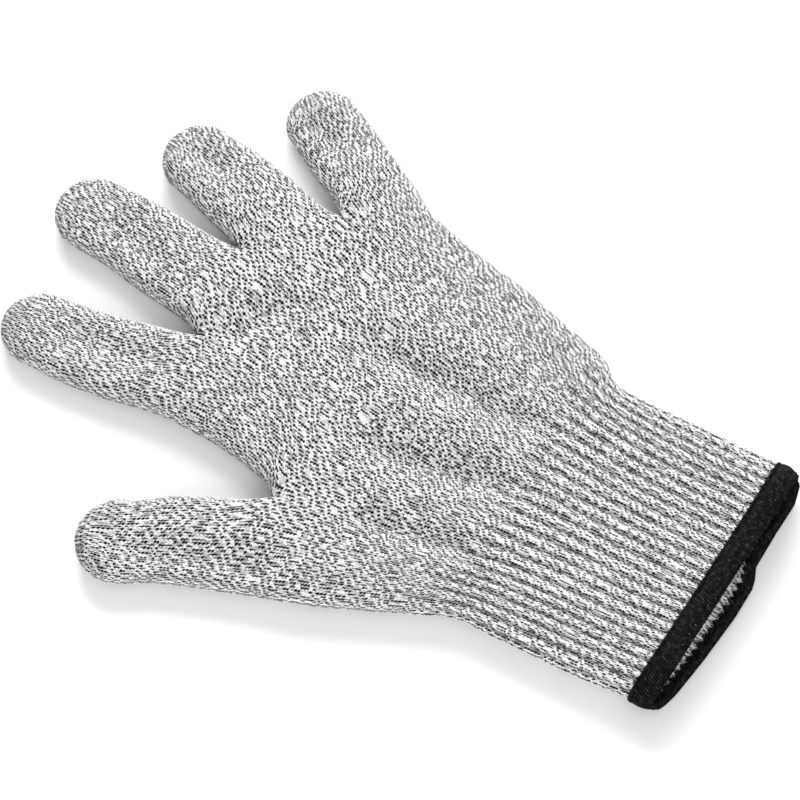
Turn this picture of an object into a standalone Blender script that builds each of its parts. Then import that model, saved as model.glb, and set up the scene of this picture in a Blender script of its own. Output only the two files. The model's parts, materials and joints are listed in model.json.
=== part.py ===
"""Knitted cut-resistant work glove, lying flat with the palm side up.

The fingers point along +Y, the thumb is on the -X side and the cuff mouth faces -Y. The fabric tube
is split where the hand inside it bends: each finger stall at its root and at two knuckles, the thumb
at two, and the whole glove at the wrist. A moving piece has a barrel end that turns in the socket of
the piece before it, and its origin is on that joint's axis.
"""
import math

import bmesh
import bpy
from mathutils import Matrix, Vector

MM = 0.001

# Plan of the glove in millimetres: y = 0 is near the hem, and x = 0 runs up the middle of the cuff.
CENTRE_X = 7.009        # plan point under the middle of the whole glove, which becomes the origin
CENTRE_Y = 111.105
FABRIC = 1.2            # thickness of the knitted fabric
GAP = 0.3               # clearance between neighbouring pieces
SWING_SPARE = 3.0       # degrees that a socket opens past the joint's limit

ARC_STEPS = 8           # facets in the half-round side of a flattened tube
THREAD_SIDES = 6        # facets around a thread

FINGER_HALF_HEIGHT = 5.0
THUMB_HALF_HEIGHT = 5.5
WRIST_HALF_HEIGHT = 6.0
HEM_HALF_HEIGHT = 7.5

ROOT_FLEX = 70.0        # degrees that a stall folds up at its root
KNUCKLE_FLEX = 90.0     # at the middle knuckle
END_FLEX = 45.0         # at the end knuckle, which follows the middle one
THUMB_ROOT_FLEX = 55.0
THUMB_END_FLEX = 80.0
WRIST_FLEX = 70.0

# Each digit: root joint on the plan, lean from +Y towards +X in degrees, lean of the folding
# direction, half width at the root and past the last knuckle, then the distances from the root joint
# of its knuckles and of its end.
DIGITS = {
    "index_finger": ((-16.6, 172.0), -7.0, -3.5, 12.9, 12.2, (17.5, 37.0), 57.2),
    "middle_finger": ((15.0, 172.0), 6.2, 3.6, 13.3, 12.6, (19.0, 41.0), 63.2),
    "ring_finger": ((44.0, 166.0), 14.5, 8.75, 13.2, 12.4, (17.0, 34.5), 51.7),
    "little_finger": ((67.6, 148.8), 30.0, 13.0, 11.6, 11.0, (14.0, 28.0), 42.8),
    "thumb": ((-53.4, 119.9), -22.5, -22.5, 14.2, 12.6, (27.0,), 54.4),
}
ROOT_REACH = 30.0       # how far a finger's root runs back into the palm
THUMB_REACH = 50.0      # the thumb's root runs back almost to the wrist

# Palm without the thumb: y, left edge, right edge, half height.
PALM = [
    (57.5, -45.0, 45.5, 6.0),
    (70.0, -45.0, 53.0, 6.0),
    (90.0, -43.0, 60.0, 6.0),
    (107.0, -40.0, 64.0, 6.0),
    (127.0, -35.0, 69.0, 5.6),
    (138.5, -31.8, 66.0, 5.3),
    (143.0, -31.0, 50.5, 5.2),
    (156.5, -29.8, 50.5, 5.1),
    (160.0, -29.5, 43.5, 5.0),
    (163.0, -29.5, 29.5, 5.0),
]
SPLIT_Y = 127.0         # the course where the thumb has joined and the palm is knitted wider

WRIST_Y = 57.5
WRIST_SKEW = 0.063      # the glove lies with its wrist and hem turned a little from square
CUFF = [                # distance from the wrist joint, half width, half height
    (0.0, 45.0, 6.0),
    (28.0, 44.9, 6.6),
    (53.0, 43.8, 7.3),
]
EDGE_START = 56.5       # where the fabric steps in under the binding
EDGE_END = 64.5         # cut edge of the fabric inside the binding
EDGE_HALF_WIDTH = 42.1
EDGE_HALF_HEIGHT = 6.3
HEM_SLANT = 0.2         # the upper layer of the hem stops short of the lower one
BINDING_START = 58.3
BINDING_END = 66.0
BINDING = 0.9           # thickness of the overlock binding on each face
THREAD_RADIUS = 0.35
ELASTIC_RADIUS = 0.4
ELASTIC_COUNT = 8
ELASTIC_START = 4.0
ELASTIC_PITCH = 6.6


def clear_scene():
    for found in list(bpy.data.objects):
        bpy.data.objects.remove(found, do_unlink=True)


def material(name, colour, roughness):
    made = bpy.data.materials.new(name)
    made.use_nodes = True
    shader = made.node_tree.nodes["Principled BSDF"]
    shader.inputs["Base Color"].default_value = (*colour, 1.0)
    shader.inputs["Roughness"].default_value = roughness
    shader.inputs["Metallic"].default_value = 0.0
    return made


def plan(x, y, z=0.0):
    """A point of the plan, in millimetres, in the glove's own frame."""
    return Vector((x - CENTRE_X, y - CENTRE_Y, z)) * MM


def oval(half_width, half_height, turned=0):
    """A flattened ring of (x, z) points: half-round sides joined by a flat top and bottom."""
    straight = half_width - half_height
    points = []
    for side in (1, -1):
        for step in range(ARC_STEPS + 1):
            angle = side * math.pi * (step / ARC_STEPS - 0.5)
            points.append((side * straight + side * half_height * math.cos(angle),
                           half_height * math.sin(angle)))
    return points


def square_end(z, radius):
    return 0.0


def barrel_end(z, radius):
    """How far a turned barrel of this radius reaches past its axis at height z."""
    return -math.sqrt(max(radius * radius - z * z, 0.0))


def socket_end(limit):
    """The end that a barrel turns in, opened above so that the barrel's tube can swing to its limit."""
    swing = math.radians(limit + SWING_SPARE)

    def reach(z, radius):
        socket = radius + GAP
        meet_z = socket * math.cos(swing)
        if z > meet_z:
            return -socket * math.sin(swing) + (z - meet_z) / math.tan(swing)
        lip = -0.5 * radius
        return min(-math.sqrt(max(socket * socket - z * z, 0.0)), lip)

    return reach


class Station:
    """One ring of a flattened tube, at a distance along it."""

    def __init__(self, along, half_width, half_height, middle=0.0, across=0.0, end=square_end, slant=0.0):
        self.along = along
        self.half_width = half_width
        self.half_height = half_height
        self.middle = middle        # height of the ring's centre
        self.across = across        # sideways place of the ring's centre
        self.end = end
        self.slant = slant

    def ring(self, inset, skew, radius, stretch):
        """The ring's points, inset by a wall, with y from the end's own shape."""
        points = []
        for x, z in oval(self.half_width - inset, self.half_height - inset):
            x += self.across
            z += self.middle
            reach = self.end(z, radius) * stretch
            points.append(Vector((x, self.along + reach + skew * x - self.slant * z, z)) * MM)
        return points


def bridge(mesh, first, second):
    count = len(first)
    for i in range(count):
        j = (i + 1) % count
        mesh.faces.new((first[i], first[j], second[j], second[i]))


def strip_cap(mesh, ring):
    """Close a ring with strips across it, so that a barrel or socket end stays a ruled surface."""
    count = len(ring)
    half = count // 2
    for i in range(half - 1):
        mesh.faces.new((ring[i], ring[i + 1], ring[count - 2 - i], ring[count - 1 - i]))


def finish(name, mesh, finish_material):
    bmesh.ops.recalc_face_normals(mesh, faces=mesh.faces)
    data = bpy.data.meshes.new(name)
    mesh.to_mesh(data)
    mesh.free()
    data.shade_smooth()
    data.set_sharp_from_angle(angle=math.radians(35))
    made = bpy.data.objects.new(name, data)
    made.data.materials.append(finish_material)
    bpy.context.scene.collection.objects.link(made)
    return made


def tube_shell(name, outside, inside, finish_material, skew=0.0, radius=0.0, closed=False):
    """A flattened tube with a wall: open at both ends, or closed at its far end like a fingertip."""
    stretch = math.sqrt(1.0 + skew * skew)
    mesh = bmesh.new()
    outer = [[mesh.verts.new(p) for p in s.ring(0.0, skew, radius, stretch)] for s in outside]
    inner = [[mesh.verts.new(p) for p in s.ring(FABRIC, skew, radius, stretch)] for s in inside]
    for rings in (outer, inner):
        for first, second in zip(rings, rings[1:]):
            bridge(mesh, first, second)
    bridge(mesh, outer[0], inner[0])
    if closed:
        strip_cap(mesh, outer[-1])
        strip_cap(mesh, inner[-1])
    else:
        bridge(mesh, outer[-1], inner[-1])
    return finish(name, mesh, finish_material)


def tube_solid(name, stations, finish_material, inset=0.0, skew=0.0, radius=0.0):
    """The same flattened tube filled in, for joining to or cutting out of another."""
    stretch = math.sqrt(1.0 + skew * skew)
    mesh = bmesh.new()
    rings = [[mesh.verts.new(p) for p in s.ring(inset, skew, radius, stretch)] for s in stations]
    for first, second in zip(rings, rings[1:]):
        bridge(mesh, first, second)
    strip_cap(mesh, rings[0])
    strip_cap(mesh, rings[-1])
    return finish(name, mesh, finish_material)


def guide(made, group):
    """Keep an object as a helper of a Boolean and out of the finished glove."""
    made.hide_render = True
    made.display_type = "WIRE"
    bpy.context.scene.collection.objects.unlink(made)
    group.objects.link(made)


def helper_group(name):
    group = bpy.data.collections.new(name)
    bpy.context.scene.collection.children.link(group)
    return group


def boolean(target, name, operation, group=None, cutter=None):
    modifier = target.modifiers.new(name, "BOOLEAN")
    modifier.operation = operation
    modifier.solver = "EXACT"
    if group:
        modifier.operand_type = "COLLECTION"
        modifier.collection = group
    else:
        modifier.object = cutter


def place(made, origin, lean):
    """Set a piece's origin on the plan and turn its +Y to the digit's own direction."""
    made.location = origin
    made.rotation_euler = (0.0, 0.0, -math.radians(lean))


def along_digit(root, lean, distance):
    angle = math.radians(lean)
    return root[0] + distance * math.sin(angle), root[1] + distance * math.cos(angle)


def tip_stations(start, length, half_width, half_height, inset):
    """Rings that close a fingertip in a rounded end; the inner ones stop a wall's thickness short."""
    round_length = half_width * 0.95
    made = []
    for degrees in (0, 25, 45, 62, 76, 85):
        angle = math.radians(degrees)
        distance = start + length - round_length + (round_length - inset) * math.sin(angle)
        width = max((half_width - inset) * math.cos(angle), 0.9) + inset
        height = (half_height - inset) * math.cos(angle) ** 0.6 + inset
        made.append(Station(distance, width, min(height, width - 0.05)))
    return made


def make_digit(name, fabric):
    """The pieces of one finger or the thumb, from its root joint outwards."""
    root, lean, fold_lean, near, far, knuckles, length = DIGITS[name]
    is_thumb = name == "thumb"
    half_height = THUMB_HALF_HEIGHT if is_thumb else FINGER_HALF_HEIGHT
    skew = math.tan(math.radians(lean - fold_lean))
    joints = (0.0, *knuckles)
    limits = (THUMB_END_FLEX,) if is_thumb else (KNUCKLE_FLEX, END_FLEX)
    labels = ("base", "tip") if is_thumb else ("base", "mid", "tip")
    slope = (far - near) / joints[-1]
    for index, label in enumerate(labels):
        start = joints[index]
        first = Station(0.0, near + slope * start, half_height, end=barrel_end)
        if label == "tip":
            body = [first, *tip_stations(0.0, length - start, far, half_height, 0.0)]
            hollow = [first, *tip_stations(0.0, length - start, far, half_height, FABRIC)]
            made = tube_shell(f"{name}_{label}", body, hollow, fabric, skew, half_height, closed=True)
        else:
            stop = joints[index + 1]
            last = Station(stop - start, near + slope * stop, half_height, end=socket_end(limits[index]))
            made = tube_shell(f"{name}_{label}", [first, last], [first, last], fabric, skew, half_height)
        x, y = along_digit(root, lean, start)
        place(made, plan(x, y, half_height), lean)


def root_solid(name, fabric, inset, past):
    """The part of a digit that belongs to the palm, filled in; `past` carries a cutter beyond its ends."""
    root, lean, fold_lean, near, _, _, _ = DIGITS[name]
    is_thumb = name == "thumb"
    half_height = THUMB_HALF_HEIGHT if is_thumb else FINGER_HALF_HEIGHT
    reach = THUMB_REACH if is_thumb else ROOT_REACH
    limit = THUMB_ROOT_FLEX if is_thumb else ROOT_FLEX
    skew = math.tan(math.radians(lean - fold_lean))
    wall_spare = 0.05       # keeps the root's faces from lying exactly in the palm's
    height = half_height - wall_spare
    stations = [Station(-reach + inset, near, height)]
    if past:
        stations.append(Station(past, near, height))
    else:
        stations.append(Station(0.0, near, height, end=socket_end(limit)))
    label = "hollow" if inset else "root"
    made = tube_solid(f"{name}_{label}", stations, fabric, inset, skew, half_height)
    place(made, plan(*root, half_height), lean)
    return made


def wrist_socket(z, radius):
    return -socket_end(WRIST_FLEX)(z - radius, radius)


def palm_solid(name, fabric, inset, past):
    stations = []
    for y, left, right, half_height in PALM:
        stations.append(Station(y - WRIST_Y, (right - left) / 2, half_height,
                                middle=half_height, across=(left + right) / 2))
    if past:
        stations[0].along -= past
        stations[-1].along -= inset
    else:
        stations[0].end = wrist_socket
    mesh_skews = [-WRIST_SKEW] + [0.0] * (len(stations) - 1)
    mesh = bmesh.new()
    rings = []
    for station, skew in zip(stations, mesh_skews):
        rings.append([mesh.verts.new(p) for p in station.ring(inset, skew, WRIST_HALF_HEIGHT, 1.0)])
    for first, second in zip(rings, rings[1:]):
        bridge(mesh, first, second)
    strip_cap(mesh, rings[0])
    strip_cap(mesh, rings[-1])
    made = finish(name, mesh, fabric)
    made.location = plan(0.0, WRIST_Y)
    return made


def half_space(name, low_y, high_y, fabric):
    """A block over the whole width of the palm, used to part its two knitted sections."""
    mesh = bmesh.new()
    bmesh.ops.create_cube(mesh, size=1.0)
    made = finish(name, mesh, fabric)
    size = Vector((240.0, high_y - low_y, 60.0)) * MM
    made.data.transform(Matrix.Diagonal((*size, 1.0)))
    made.location = plan(0.0, (low_y + high_y) / 2, 6.0)
    return made


def make_palm(fabric):
    """The palm in its two knitted sections: over four fingers, and over four fingers and the thumb."""
    digits_of = {
        "four_finger_palm": [name for name in DIGITS if name != "thumb"],
        "five_finger_palm": list(DIGITS),
    }
    cut_of = {
        "four_finger_palm": (-60.0, SPLIT_Y + GAP / 2),
        "five_finger_palm": (SPLIT_Y - GAP / 2, 300.0),
    }
    for name, digits in digits_of.items():
        roots = helper_group(f"{name}_roots")
        hollows = helper_group(f"{name}_hollows")
        for digit in digits:
            guide(root_solid(digit, fabric, 0.0, 0.0), roots)
            guide(root_solid(digit, fabric, FABRIC, 12.0), hollows)
        guide(palm_solid(f"{name}_hollow", fabric, FABRIC, 20.0), hollows)
        cutter = half_space(f"{name}_cut", *cut_of[name], fabric)
        guide(cutter, helper_group(f"{name}_cuts"))
        made = palm_solid(name, fabric, 0.0, 0.0)
        boolean(made, "roots", "UNION", group=roots)
        boolean(made, "hollow", "DIFFERENCE", group=hollows)
        boolean(made, "section", "DIFFERENCE", cutter=cutter)


def cuff_size(distance):
    """Half width and half height of the cuff's outside at a distance from the wrist joint."""
    for (start, width, height), (stop, next_width, next_height) in zip(CUFF, CUFF[1:]):
        if distance <= stop:
            share = (distance - start) / (stop - start)
            return width + (next_width - width) * share, height + (next_height - height) * share
    return CUFF[-1][1:]


def hem_slant(distance):
    return HEM_SLANT * distance / BINDING_END


def place_cuff(made):
    """Cuff pieces are built along +Y from the wrist joint and turned to run along -Y."""
    made.location = plan(0.0, WRIST_Y, WRIST_HALF_HEIGHT)
    made.rotation_euler = (0.0, 0.0, math.pi)


def make_cuff(fabric):
    stations = []
    for distance, half_width, half_height in CUFF:
        stations.append(Station(distance, half_width, half_height,
                                middle=half_height - WRIST_HALF_HEIGHT, slant=hem_slant(distance)))
    stations[0].end = barrel_end
    edge_middle = HEM_HALF_HEIGHT - WRIST_HALF_HEIGHT
    for distance in (EDGE_START, EDGE_END):
        stations.append(Station(distance, EDGE_HALF_WIDTH, EDGE_HALF_HEIGHT,
                                middle=edge_middle, slant=hem_slant(distance)))
    place_cuff(tube_shell("ribbed_cuff", stations, stations, fabric, -WRIST_SKEW, WRIST_HALF_HEIGHT))


def thread_loop(name, distance, half_width, half_height, middle, radius, thread):
    """A closed thread that follows the cuff's flattened ring at one distance along it."""
    mesh = bmesh.new()
    centre = oval(half_width, half_height)
    count = len(centre)
    rings = []
    for i, (x, z) in enumerate(centre):
        before = Vector(centre[i - 1])
        after = Vector(centre[(i + 1) % count])
        along = (after - before).normalized()
        outward = Vector((along.y, -along.x))
        ring = []
        for k in range(THREAD_SIDES):
            angle = math.tau * k / THREAD_SIDES
            side = outward * radius * math.cos(angle)
            px = x + side.x
            pz = z + middle + side.y
            y = distance + radius * math.sin(angle) - WRIST_SKEW * px - hem_slant(distance) * pz
            ring.append(mesh.verts.new(Vector((px, y, pz)) * MM))
        rings.append(ring)
    for first, second in zip(rings, rings[1:] + rings[:1]):
        bridge(mesh, first, second)
    place_cuff(finish(name, mesh, thread))


def make_elastics(thread):
    """Elastic yarn laid in loops around the inside of the cuff."""
    inset = FABRIC + GAP + ELASTIC_RADIUS
    for index in range(ELASTIC_COUNT):
        distance = ELASTIC_START + index * ELASTIC_PITCH
        half_width, half_height = cuff_size(distance)
        thread_loop(f"cuff_elastic_{index + 1}", distance, half_width - inset, half_height - inset,
                    half_height - WRIST_HALF_HEIGHT, ELASTIC_RADIUS, thread)


def make_binding(thread):
    """The overlock binding: a folded band over the cut edge, inside and outside the fabric."""
    outer = GAP + BINDING
    inner = FABRIC + GAP
    profile = [             # distance along the cuff, offset of the ring from the fabric's outside
        (BINDING_START, outer), (BINDING_END - 0.5, outer), (BINDING_END, outer - 0.7),
        (BINDING_END, -inner - BINDING + 0.7), (BINDING_END - 0.5, -inner - BINDING),
        (BINDING_START, -inner - BINDING), (BINDING_START, -inner),
        (EDGE_END + GAP, -inner), (EDGE_END + GAP, GAP), (BINDING_START, GAP),
    ]
    mesh = bmesh.new()
    rings = []
    for distance, offset in profile:
        station = Station(distance, EDGE_HALF_WIDTH + offset, EDGE_HALF_HEIGHT + offset,
                          middle=HEM_HALF_HEIGHT - WRIST_HALF_HEIGHT, slant=hem_slant(distance))
        rings.append([mesh.verts.new(p) for p in station.ring(0.0, -WRIST_SKEW, 1.0, 1.0)])
    for first, second in zip(rings, rings[1:] + rings[:1]):
        bridge(mesh, first, second)
    place_cuff(finish("hem_binding", mesh, thread))


def make_hem_threads(thread):
    """The needle thread at the binding's inner side and the knotted edge at its outer side."""
    middle = HEM_HALF_HEIGHT - WRIST_HALF_HEIGHT
    outside = GAP + THREAD_RADIUS
    thread_loop("hem_needle_thread", BINDING_START - GAP - THREAD_RADIUS - 0.1,
                EDGE_HALF_WIDTH + outside, EDGE_HALF_HEIGHT + outside, middle, THREAD_RADIUS, thread)
    thread_loop("hem_edge_thread", BINDING_END + GAP + THREAD_RADIUS,
                EDGE_HALF_WIDTH - FABRIC / 2, EDGE_HALF_HEIGHT - FABRIC / 2, middle, THREAD_RADIUS, thread)


def build_glove():
    clear_scene()
    knit = material("grey_melange_knit", (0.42, 0.42, 0.42), 0.85)
    rib = material("grey_melange_rib", (0.36, 0.36, 0.36), 0.85)
    elastic = material("elastic_yarn", (0.55, 0.55, 0.53), 0.6)
    black = material("black_overlock", (0.012, 0.012, 0.013), 0.75)
    make_palm(knit)
    for name in DIGITS:
        make_digit(name, knit)
    make_cuff(rib)
    make_elastics(elastic)
    make_binding(black)
    make_hem_threads(black)


build_glove()
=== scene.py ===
"""A knitted cut-resistant glove: grey melange plain knit, ribbed elastic cuff and black overlocked hem.

The fabric is one lattice of stitches. Its columns (wales) run from the hem to each fingertip and its
rows (courses) run across, so the knit, its relief and its colours all follow the same two numbers.
Plan coordinates are millimetres from the middle of the cuff's end: x to the little finger's side and
y to the fingertips. Heights are millimetres above the floor.
"""

import json
import math

import bpy
import numpy as np
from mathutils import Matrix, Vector, kdtree


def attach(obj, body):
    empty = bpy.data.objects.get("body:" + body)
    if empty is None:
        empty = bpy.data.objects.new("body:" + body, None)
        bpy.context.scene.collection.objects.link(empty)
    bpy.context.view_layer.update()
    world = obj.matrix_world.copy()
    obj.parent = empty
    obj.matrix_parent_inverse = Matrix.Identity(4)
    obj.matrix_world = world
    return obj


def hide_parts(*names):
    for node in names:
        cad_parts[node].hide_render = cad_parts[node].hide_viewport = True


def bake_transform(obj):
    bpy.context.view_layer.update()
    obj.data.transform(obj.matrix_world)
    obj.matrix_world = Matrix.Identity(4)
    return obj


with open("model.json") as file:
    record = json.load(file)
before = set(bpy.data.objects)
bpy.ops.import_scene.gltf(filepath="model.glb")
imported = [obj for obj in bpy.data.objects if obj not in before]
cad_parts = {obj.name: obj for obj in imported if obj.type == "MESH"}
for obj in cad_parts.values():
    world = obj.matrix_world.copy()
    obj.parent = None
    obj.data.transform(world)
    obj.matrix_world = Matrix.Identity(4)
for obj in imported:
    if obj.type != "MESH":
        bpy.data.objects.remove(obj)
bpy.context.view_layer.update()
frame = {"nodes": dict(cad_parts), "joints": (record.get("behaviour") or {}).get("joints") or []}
JOINTS = {joint["name"]: joint for joint in frame["joints"]}

# ---------------------------------------------------------------- sizes, in millimetres
MM = 0.001
WRIST_Y = 57.5            # the wrist fold, above the end of the grey knit
ORIGIN = np.array(JOINTS["wrist_fold"]["pos_m"][:2]) / MM - (0.0, WRIST_Y)

COURSE = 1.08             # height of one stitch along its wale
SPLIT = 4                 # lattice points along a stitch's width
HALVES = 2                # lattice points along a stitch's height
STRIP_WALES = 14          # wales of each digit's strip on one face, seen from above
EDGE_WALES = 3            # more wales that turn round each side of a tube
EDGE_REACH = 2 * COURSE   # how far in from the outline those wales reach, seen from above
EDGE_TURN = math.radians(56)
OPENING_COURSES = 9       # courses over which a digit's inner side opens above its crotch
RIB_WALES = 3             # wales from one rib of the cuff to the next
UNDER_WALE = 300          # added to the under side's wale numbers, a whole number of ribs

STRIPS = ("thumb", "index_finger", "middle_finger", "ring_finger", "little_finger")
WRIST_COURSE = 59                   # the wrist, above which the cuff's ribs fade
CROTCHES = (120, 162, 165, 147)     # course of the crotch after each strip but the last
TIPS = (159, 210, 216, 201, 183)    # course of each fingertip
COARSE_WALES = 2                    # one cell of the coarse lattice that lays the wales out
COARSE_COURSES = 3

HEM_WIDTH = 5.4                     # black overlock outside the cuff
HEM_INSIDE = 1.6                    # and inside it
HEM_PUFF = 0.8                      # how far the band swells between its two edges
HEM_CORNERS = 0.7                   # how far the rim draws back at its two ends
HEM_REST = 1.5                      # the hem lifts the knit this far off the floor
HEM_REST_COURSES = 18               # and the lift fades over about so many courses
LEFT_HEM = ((-44.2, 2.6 - HEM_WIDTH), (-45.3, 18.0), (-45.7, 45.0), (-46.0, 60.0))
RIGHT_HEM = ((42.2, -4.0 - HEM_WIDTH), (43.2, 18.0), (43.2, 42.0), (44.6, 52.5))
# the crotches between the strips, in the same order as CROTCHES
CROTCH_POINTS = ((-38.2, 126.0), (-1.2, 173.0), (31.2, 176.5), (56.4, 154.5))
# left side, right side, and rounded end (its middle, lean in degrees, half width, length)
OUTLINES = {
    "thumb": (
        ((-50.0, 70.0), (-55.5, 82.0), (-63.0, 100.0), (-70.0, 121.0), (-78.0, 143.0)),
        ((-43.0, 134.0), (-50.3, 150.0)),
        ((-71.8, 159.4), -22.0, 13.4, 13.6),
    ),
    "index_finger": (
        ((-34.5, 130.0), (-31.2, 143.0), (-29.8, 156.0), (-30.0, 172.0), (-33.0, 190.0), (-34.2, 205.0)),
        ((-2.5, 177.0), (-5.2, 190.0), (-8.0, 204.0)),
        ((-21.8, 216.2), -4.0, 12.4, 13.6),
    ),
    "middle_finger": (
        ((2.0, 180.0), (4.5, 196.0), (7.5, 212.0)),
        ((31.2, 185.0), (33.0, 202.0), (33.7, 214.0)),
        ((21.0, 222.6), 4.0, 12.8, 13.4),
    ),
    "ring_finger": (
        ((34.0, 183.0), (38.5, 196.0)),
        ((56.5, 160.0), (60.0, 172.0), (64.0, 187.0)),
        ((54.0, 203.5), 14.0, 12.6, 12.5),
    ),
    "little_finger": (
        ((61.0, 159.5), (66.5, 170.0)),
        ((50.0, 58.5), (53.0, 66.0), (55.6, 75.0), (60.5, 91.0), (64.0, 107.0), (70.0, 128.0),
         (76.5, 138.5), (83.2, 150.0), (89.5, 160.5)),
        ((84.5, 176.5), 29.0, 12.0, 11.0),
    ),
}

# degrees off a fingertip's direction: where its sides are held, and where its end meets them
END_TURNS = (100.0, 80.0, 60.0, 45.0)
CORNER_TURN = END_TURNS[-1]
SPLINE_STEPS = 24         # between two points of a side

REST_HEIGHT = 0.35        # the knit's under side, above the floor
SIDE_SHARE = 0.46         # height of a tube's side fold, as a share of its thickness
SIDE_RADIUS = 5.8         # distance in from the outline over which a side turns level
SHOULDER = 0.9            # share of its thickness that a tube has there
CROWN_REACH = 13.0        # and the distance over which it gains the rest
# thickness of the flattened tube at these courses, then of the digits
TUBE_COURSES = (0, 8, 20, 50, 62, 105, 150)
TUBE_THICKNESS = (14.0, 13.0, 12.0, 11.4, 11.0, 11.6, 10.6)
FINGER_THICKNESS = 9.6
THUMB_THICKNESS = 10.8
DIGIT_COURSES = 24        # courses over which the palm's thickness becomes the digit's
# hollows (-) and swells (+) of the loose fabric: ends, half width, height
FOLDS = (
    ((-11.0, 110.0), (-2.0, 60.0), 5.0, -4.6),
    ((-34.0, 102.0), (-26.0, 60.0), 3.8, -3.0),
    ((18.0, 124.0), (19.0, 60.0), 4.4, -3.6),
    ((0.0, 166.0), (21.0, 152.0), 5.0, -3.3),
    ((28.0, 134.0), (38.0, 78.0), 6.0, 1.6),
    ((5.0, 112.0), (9.0, 66.0), 4.0, 1.0),
    ((-75.0, 161.0), (-59.0, 114.0), 5.4, -4.2),
    ((-21.0, 209.0), (-17.0, 176.0), 5.0, -2.8),
    ((19.0, 217.0), (14.0, 190.0), 5.0, -2.2),
    ((54.0, 208.0), (53.0, 192.0), 5.0, -3.2),
    ((83.0, 179.0), (77.0, 167.0), 5.0, -3.2),
)
# shallow waves that keep the fabric uneven: height, millimetres a radian across and along, phase
WAVES = ((0.16, 5.3, 17.0, 0.0), (0.14, -13.0, 7.1, 1.3))
# how much further the under side of the cuff reaches, from the thumb's side to the other
LIP_PLACES = (-45.0, -36.0, -22.0, -6.0, 5.0, 8.0, 12.0, 25.0, 36.0, 44.0)
LIP_REACH = (1.2, 2.8, 4.2, 5.2, 5.0, 4.2, 2.4, 2.0, 2.2, 0.8)
LIP_COURSES = 16          # courses over which that reach fades
LIP_DEPTH = 2.5           # and the depth below the side fold at which it is full

RIB_HEIGHT = 0.6
RIB_COURSES = 12          # courses above the wrist over which the ribs fade
STITCH_HEIGHT = 0.2
# height of the knit on a leg, between a stitch's two legs and between stitches, in stitch heights
ON_LEG, BETWEEN_LEGS, BETWEEN_STITCHES = 0.9, -0.35, -1.0
LOW_LEG = 0.75            # share of those heights halfway along a stitch
CUFF_STITCHES = 0.25      # share of them that is lost in the cuff, where the yarn is drawn in
STITCH_SLANT = 0.11       # sideways lean of a stitch's legs, in wales

# the melange's pattern, and its shades from 0 for black to 1 for white
LEG_SLOPE = 0.7           # courses by which a leg's end slopes across its width
LEG_LEAN = 0.45           # leg widths that a leg leans across in its length
LEG_SHADE = 0.56          # shade of the darkest leg
LEG_RANGE = 0.34          # and how much lighter the lightest is
GAP_PERIOD = 3.1          # courses from one dark fibre in the gap between two legs to the next
GAP_STEP = 0.618          # how far each gap's dark fibres lie past its neighbour's, in those periods
GAP_JITTER = 0.3          # how far they stray from that
GAP_DRIFT = 3.0           # and how far whole areas of them do
GAP_PAINTED_SHADE = 0.1           # how much darker a gap is than its legs, painted shade between the yarns
FIBRE_SHADE = 1.1         # and how much more where a dark fibre lies in it, the yarn's own colour
FIBRE_WIDTH = 0.17        # how much wider the gap looks there, in leg widths
END_PAINTED_SHADE = 0.15          # how much darker a leg's ends are, painted shade where one stitch meets the next
RIB_PAINTED_LIGHT_AND_SHADE = 0.15          # and the cuff's grooves, as painted shade, while its ribs are as much lighter, as painted light
PURL_DARKNESS = -0.12     # the inner face's loops are paler
THREAD_SLANT = 7.0        # turns of the overlock that a thread slants past across the binding

ROOT_BEND = 10.0          # stretch of fabric at a digit's root, from its crotch on; a digit's pieces are cut midway between such stretches
KNUCKLE_BEND = 6.0        # and on each side of a knuckle
ROOT_SHARE = 0.6          # the root's stretch takes no more of the fabric between crotch and knuckle
KNUCKLE_SHARE = 0.32      # and the knuckle's stretch no more than this, so the two don't meet
END_BEND = 5.0            # on each side of an end knuckle
WRIST_BEND = 9.0          # and of the wrist fold
PALM_SPLIT = 127.0        # where the four-finger palm begins

MOUTH_POINTS = 1200       # points of each ring around the cuff
THREADS = 230             # overlock threads around the hem
THREAD_RIDGE = 0.26       # how far they stand out of the binding
TEETH = 66                # points of the binding's ragged edge inside the cuff
TOOTH_SLOPE = 0.7         # how far they reach, for each radian of their turn
# two braids of thread: distance in from the rim, height off the fabric, half width, turns
NEEDLE_BRAID = (HEM_WIDTH + 0.1, 0.75, 0.4, 120)
EDGE_BRAID = (-1.2, -0.3, 0.3, 150)
BRAID_LIFT = 0.22         # by which a strand rises over the other
THREAD_RADIUS = 0.33
LINING_START = 1.2        # the lining reaches from here, in from the rim
LINING_DEPTH = 46.0       # to about here
LINING_OFFSET = -1.1      # the fabric's inner face, from its outer face
PURLS = 150               # loops of the knit's inner face around the cuff
PURL_HEIGHT = 0.16
ELASTICS = [name for name in frame["nodes"] if name.startswith("cuff_elastic")]
ELASTIC_PITCH = 6.0       # from one loop to the next
ELASTIC_OFFSET = -1.75    # an elastic's middle, from the fabric's outer face
ELASTIC_RADIUS = 0.4


# ---------------------------------------------------------------- laying out the wales
def spline(points, count):
    """count points evenly spaced along a smooth curve through the given points."""
    points = np.array(points, float)
    padded = np.vstack([2 * points[0] - points[1], points, 2 * points[-1] - points[-2]])
    t = np.linspace(0, 1, SPLINE_STEPS, endpoint=False)[:, None]
    runs = []
    for a, b, c, d in zip(padded, padded[1:], padded[2:], padded[3:]):
        runs.append(0.5 * (2 * b + (c - a) * t + (2 * a - 5 * b + 4 * c - d) * t**2
                           + (3 * b - a - 3 * c + d) * t**3))
    dense = np.vstack([*runs, points[-1:]])
    travel = np.append(0, np.cumsum(np.linalg.norm(np.diff(dense, axis=0), axis=1)))
    wanted = np.linspace(0, travel[-1], count)
    return np.column_stack([np.interp(wanted, travel, dense[:, axis]) for axis in (0, 1)])


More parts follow.
